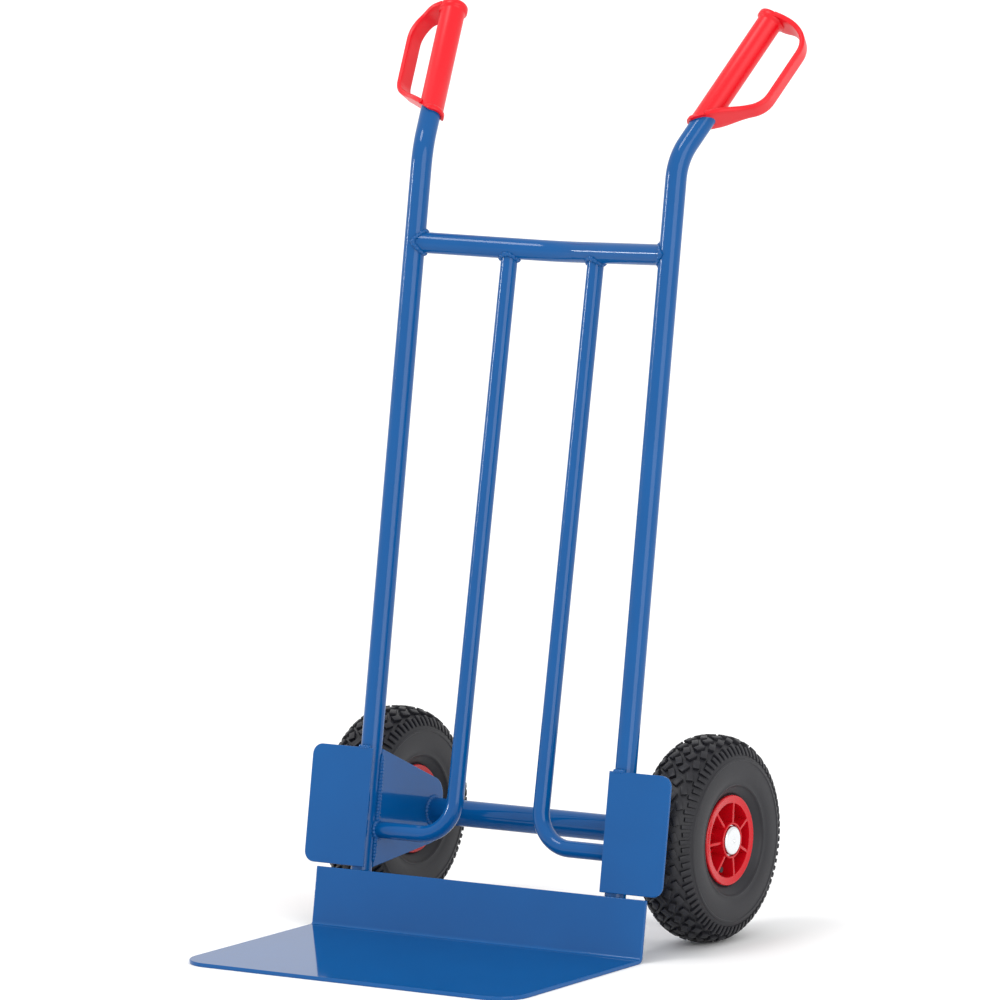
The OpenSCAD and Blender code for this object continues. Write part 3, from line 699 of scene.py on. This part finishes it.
# Carbon-black rubber from a textured mould: dull, greyer where it has been wiped.
tyre_rubber, tree = new_material("carbon_black_rubber")
place = add_node(tree, "ShaderNodeTexCoord").outputs["Object"]
dust = add_node(tree, "ShaderNodeTexNoise", {
    "Vector": place, "Scale": 1 / (DUST_SPREAD * MM), "Detail": 5.0,
})
grain = add_node(tree, "ShaderNodeTexNoise", {
    "Vector": place, "Scale": 1 / (RUBBER_GRAIN * MM), "Detail": 2.0,
})
tone = add_node(tree, "ShaderNodeMix", {
    "Factor": dust.outputs["Fac"], COLOUR_A: colour(TYRE_BLACK), COLOUR_B: colour(TYRE_GREY),
}, data_type="RGBA")
skin = add_node(tree, "ShaderNodeBump", {
    "Height": grain.outputs["Fac"], "Strength": 0.3, "Distance": 0.0003,
})
shader = add_node(tree, "ShaderNodeBsdfPrincipled", {
    "Base Color": tone.outputs[COLOUR_OUT], "Roughness": 0.46, "Specular IOR Level": 0.35,
    "Normal": skin.outputs["Normal"],
})
add_node(tree, "ShaderNodeOutputMaterial", {"Surface": shader.outputs["BSDF"]})

# How far below the tread's face the carcass lies, across from the crown to the heel.
half_section = [on_section(v, sink) for v, sink in (
    (0, TREAD_DEPTH), (8, TREAD_DEPTH), (16, TREAD_DEPTH), (24, TREAD_DEPTH), (32, TREAD_DEPTH),
    (40, TREAD_DEPTH - 0.8), (45, 2.4), (TREAD_EDGE, SIDE_DEPTH), (53, SIDE_DEPTH), (54, 0.2),
    (56, 0.2), (57, SIDE_DEPTH), (62, SIDE_DEPTH), (68, SIDE_DEPTH), (74, SIDE_DEPTH),
    (80, SIDE_DEPTH), (85, SIDE_DEPTH), (86, 0.3), (88, 0.3), (89, SIDE_DEPTH), (93, SIDE_DEPTH),
)]
heel = [(SEAT_R + 6.5, HEEL_Z), (SEAT_R, HEEL_Z), (SEAT_R, HEEL_IN), (SEAT_R + 8.3, HEEL_IN)]
cavity = [section_point(radians(a), TYRE_HALF_W - SIDE_T, half_h - TREAD_T)
          for a in range(160, -161, -10)]
carcass = lathe(
    [(r, -z) for r, z in reversed(half_section[1:])] + half_section + heel + cavity
    + [(r, -z) for r, z in reversed(heel)],
    TYRE_ROUND, closed=True)

# The tread is laid flat first: x round the tyre, y across it, z up from its face.
tread = bmesh.new()
pitch = 2 * pi * TYRE_R / PITCHES


def add_block(x, y, turn, length, width):
    """A tread block whose face lies at z 0 and whose root sinks into the carcass."""
    high = TREAD_DEPTH + BLOCK_ROOT
    bmesh.ops.create_cube(tread, size=1, matrix=Matrix.Translation((x, y, -high / 2))
                          @ Matrix.Rotation(radians(turn), 4, "Z")
                          @ Matrix.Diagonal((length, width, high, 1)))


for k in range(PITCHES):
    for column, turn, length in BLOCKS:
        add_block((k + 0.5 * (column % 2)) * pitch, column * COLUMN_GAP, turn, length, BLOCK_W)
    for half in (0, 1):
        for side in (-1, 1):
            length = LUG_L - LUG_SHORTER * half
            add_block((k + 0.25 + 0.5 * half) * pitch, side * (TREAD_EDGE - length / 2),
                      side * LUG_TURN, LUG_W, length)

# The lugs are cut across so that they can bend over the shoulder.
for cut_at in (-45, -41, -37, 37, 41, 45):
    bmesh.ops.bisect_plane(tread, geom=tread.verts[:] + tread.edges[:] + tread.faces[:],
                           plane_co=(0, cut_at, 0), plane_no=(0, 1, 0))
crests = [e for e in tread.edges
          if min(v.co.z for v in e.verts) > -0.01 and e.calc_face_angle(0) > 1]
bmesh.ops.bevel(tread, geom=crests, affect="EDGES", offset=BLOCK_EDGE, offset_type="OFFSET",
                segments=2, profile=0.5, material=-1)
for vert in tread.verts:
    r, z = on_section(vert.co.y, -vert.co.z)
    turn = vert.co.x / TYRE_R
    vert.co = Vector((r * cos(turn), r * sin(turn), z))
bmesh.ops.recalc_face_normals(tread, faces=tread.faces)
absorb(carcass, tread)
bmesh.ops.transform(carcass, matrix=wheel_place, verts=carcass.verts)
add_both_sides("treaded_tyre", carcass, tyre_rubber, "wheel", ["tyre"], crease=35)


# ---- Rims ----------------------------------------------------------------
# Each rim is two nylon halves, screwed together from the inner side. A half has a
# flange, a barrel, a web and a hub, with seven tall ribs and low ones between them.

FLANGE_R, RIM_HALF_W, BARREL_R = 56.5, 31.7, 46.5
WEB_Z, WEB_TOP, HUB_R, HUB_HALF_L = 8, 11, 22.5, 35
RECESS_R, SLEEVE_R, SLEEVE_H = 20, 16, 29
RIB_N, RIB_T, THIN_RIB_T, THIN_RIB_H = 7, 3.5, 2.3, 19
RIB_SINK, RIB_DRAFT, RIB_EDGE = 1, 1.25, 0.5
VALVE_POCKET, WINDOW_IN, WINDOW_OUT, WINDOW_HALF_A = 5, 28, 41, 12
RIM_ROUND = 14 * RIB_N

RIM_RED = "#c80a1a"
RIM_RED_DEEP = "#b80716"
RIM_CLOUD = 33.3  # the surface sinks and the tone drifts over this length

# Glass-filled nylon straight from a polished mould: glossy, over a surface that sinks a little.
rim_plastic, tree = new_material("red_moulded_nylon")
place = add_node(tree, "ShaderNodeTexCoord").outputs["Object"]
cloud = add_node(tree, "ShaderNodeTexNoise", {
    "Vector": place, "Scale": 1 / (RIM_CLOUD * MM), "Detail": 3.0,
})
tone = add_node(tree, "ShaderNodeMix", {
    "Factor": cloud.outputs["Fac"], COLOUR_A: colour(RIM_RED_DEEP), COLOUR_B: colour(RIM_RED),
}, data_type="RGBA")
skin = add_node(tree, "ShaderNodeBump", {
    "Height": cloud.outputs["Fac"], "Strength": 0.1, "Distance": 0.001,
})
shader = add_node(tree, "ShaderNodeBsdfPrincipled", {
    "Base Color": tone.outputs[COLOUR_OUT], "Roughness": 0.24, "Specular IOR Level": 0.35,
    "Normal": skin.outputs["Normal"],
})
add_node(tree, "ShaderNodeOutputMaterial", {"Surface": shader.outputs["BSDF"]})


def rib(bm, turn, thick, top_in, top_out):
    """A radial rib with draft, from the hub to the barrel."""
    root, near, far = WEB_TOP - RIB_SINK, HUB_R - RIB_SINK, BARREL_R + RIB_SINK
    fin = bmesh.new()
    fin.faces.new([fin.verts.new((x, 0, z))
                   for x, z in ((near, root), (far, root), (far, top_out), (near, top_in))])
    made = bmesh.ops.extrude_face_region(fin, geom=fin.faces[:])["geom"]
    bmesh.ops.translate(fin, verts=step_out(made)[0], vec=(0, 1, 0))
    for vert in fin.verts:
        draft = RIB_DRAFT if vert.co.z < WEB_TOP else 1
        vert.co.y = (vert.co.y - 0.5) * thick * draft
    bmesh.ops.recalc_face_normals(fin, faces=fin.faces)
    round_edges(fin, RIB_EDGE, sharper_than=60)
    bmesh.ops.transform(fin, matrix=Matrix.Rotation(turn, 4, "Z"), verts=fin.verts)
    absorb(bm, fin)


# A half's section runs from its joint face up the tyre's seat, over the flange, down into
# the pockets, and round the hub and its bore.
for stem, node, side in (("outer_rim_half", "rim_outer", 1), ("inner_rim_half", "rim_inner", -1)):
    half = lathe([
        (SEAT_R, 0), (SEAT_R, RIM_HALF_W - 4.5), (SEAT_R + 1, RIM_HALF_W - 3.9),
        (FLANGE_R - 0.6, RIM_HALF_W - 3.9), (FLANGE_R, RIM_HALF_W - 3.2),
        (FLANGE_R, RIM_HALF_W - 0.9), (FLANGE_R - 0.7, RIM_HALF_W - 0.1),
        (FLANGE_R - 1.8, RIM_HALF_W), (FLANGE_R - 2.6, RIM_HALF_W - 0.5),
        (BARREL_R + 1.2, RIM_HALF_W - 0.6), (BARREL_R + 0.3, RIM_HALF_W - 0.9),
        (BARREL_R, RIM_HALF_W - 1.8), (BARREL_R - 0.5, WEB_TOP + 2), (BARREL_R - 2, WEB_TOP),
        (WINDOW_OUT, WEB_TOP), (WINDOW_IN, WEB_TOP),
        (HUB_R + 1.5, WEB_TOP), (HUB_R + 0.4, WEB_TOP + 1.5), (HUB_R, HUB_HALF_L - 0.8),
        (HUB_R - 0.7, HUB_HALF_L), (RECESS_R + 0.5, HUB_HALF_L), (RECESS_R, HUB_HALF_L - 0.6),
        (RECESS_R, SLEEVE_H), (SLEEVE_R, SLEEVE_H), (SLEEVE_R, 0), (HUB_R, 0), (HUB_R, WEB_Z),
        (WINDOW_IN, WEB_Z), (WINDOW_OUT, WEB_Z), (BARREL_R, WEB_Z), (BARREL_R, 0),
    ], RIM_ROUND, closed=True)
    pocket = 2 * pi / RIB_N
    if side > 0:  # a window in one pocket's web lets the valve through
        window = []
        for face in half.faces:
            spot = face.calc_center_median()
            off = (atan2(spot.y, spot.x) - VALVE_POCKET * pocket + pi) % (2 * pi) - pi
            in_ring = WINDOW_IN < hypot(spot.x, spot.y) < WINDOW_OUT
            if abs(off) < radians(WINDOW_HALF_A) and in_ring and WEB_Z - 1 < spot.z < WEB_TOP + 1:
                window.append(face)
        bmesh.ops.delete(half, geom=window, context="FACES")
        bmesh.ops.bridge_loops(half, edges=[e for e in half.edges if e.is_boundary])
        bmesh.ops.recalc_face_normals(half, faces=half.faces)
    for k in range(RIB_N):
        rib(half, (k + 0.5) * pocket, RIB_T, RIM_HALF_W + 1.2, RIM_HALF_W - 0.8)
        if side > 0 and k != VALVE_POCKET:
            rib(half, k * pocket, THIN_RIB_T, THIN_RIB_H, THIN_RIB_H)
    if side < 0:
        bmesh.ops.scale(half, verts=half.verts, vec=(1, 1, -1))
        bmesh.ops.reverse_faces(half, faces=half.faces)
    bmesh.ops.transform(half, matrix=wheel_place, verts=half.verts)
    add_both_sides(stem, half, rim_plastic, "wheel", [node], crease=35)


# ---- Hub caps ------------------------------------------------------------
# Pressed steel, zinc plated, with a small dimple from its punch. Its spring collar
# bites on the end of the axle rod.

CAP_R, CAP_Z, CAP_H, CAP_ROUND = 18, 31.3, 6, 64

ZINC = "#e6e8ea"
CRYSTAL = 1.43  # real crystals and tool marks are finer, and are drawn coarse enough to show


def plated_steel(name, code, roughness):
    """Bare or zinc-plated steel: it mirrors its surroundings, a little broken up by mottling."""
    material, tree = new_material(name)
    place = add_node(tree, "ShaderNodeTexCoord").outputs["Object"]
    crystals = add_node(tree, "ShaderNodeTexNoise", {
        "Vector": place, "Scale": 1 / (CRYSTAL * MM), "Detail": 3.0,
    })
    skin = add_node(tree, "ShaderNodeBump", {
        "Height": crystals.outputs["Fac"], "Strength": 0.12, "Distance": 0.0002,
    })
    shader = add_node(tree, "ShaderNodeBsdfPrincipled", {
        "Base Color": colour(code), "Metallic": 1.0, "Roughness": roughness,
        "Normal": skin.outputs["Normal"],
    })
    add_node(tree, "ShaderNodeOutputMaterial", {"Surface": shader.outputs["BSDF"]})
    return material


bright_zinc = plated_steel("bright_zinc_plate", ZINC, 0.22)
cap = lathe([
    (CAP_R - 7.5, CAP_Z), (CAP_R - 0.5, CAP_Z), (CAP_R, CAP_Z + 0.5), (CAP_R, CAP_Z + 3.4),
    (CAP_R - 0.5, CAP_Z + 4.6), (CAP_R - 1.6, CAP_Z + 5.4), (CAP_R - 3.5, CAP_Z + 5.8),
    (CAP_R - 9, CAP_Z + CAP_H), (2.4, CAP_Z + CAP_H), (1.8, CAP_Z + CAP_H - 0.3),
    (1.2, CAP_Z + CAP_H - 1.1), (0, CAP_Z + CAP_H - 1.3),
], CAP_ROUND)
bmesh.ops.transform(cap, matrix=wheel_place, verts=cap.verts)
add_both_sides("pressed_cap", cap, bright_zinc, "frame", ["hub_cap"])


# ---- Axle, bearings and valves -------------------------------------------
# The turned, drawn and moulded pieces inside the wheels and on the axle keep the
# frame's own shapes, and get the finish of the metal, rubber or plastic they are.

VALVE_BLACK = "#18181a"
VALVE_GRAIN = 1.11  # drawn coarse enough to show
BARE_STEEL = "#a9adb3"

# Soft moulded rubber: dull and black, with a fine grain.
valve_rubber, tree = new_material("valve_rubber")
place = add_node(tree, "ShaderNodeTexCoord").outputs["Object"]
grain = add_node(tree, "ShaderNodeTexNoise", {
    "Vector": place, "Scale": 1 / (VALVE_GRAIN * MM), "Detail": 2.0,
})
skin = add_node(tree, "ShaderNodeBump", {
    "Height": grain.outputs["Fac"], "Strength": 0.2, "Distance": 0.0002,
})
shader = add_node(tree, "ShaderNodeBsdfPrincipled", {
    "Base Color": colour(VALVE_BLACK), "Roughness": 0.5, "Normal": skin.outputs["Normal"],
})
add_node(tree, "ShaderNodeOutputMaterial", {"Surface": shader.outputs["BSDF"]})

turned_steel = plated_steel("turned_steel", BARE_STEEL, 0.3)
FINISHES = {
    "axle_rod": turned_steel, "axle_spacer": bright_zinc, "inner_washer": bright_zinc,
    "outer_washer": bright_zinc, "rim_screws": bright_zinc, "bearing_sleeve": turned_steel,
    "bearing_rollers": turned_steel, "bearing_cage": valve_rubber, "air_tube": valve_rubber,
    "valve_stem": valve_rubber, "valve_cap": valve_rubber,
}
for name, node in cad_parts.items():
    stem = name.removesuffix("_left").removesuffix("_right")
    if stem in FINISHES:
        for slot in node.material_slots:
            slot.material = FINISHES[stem]
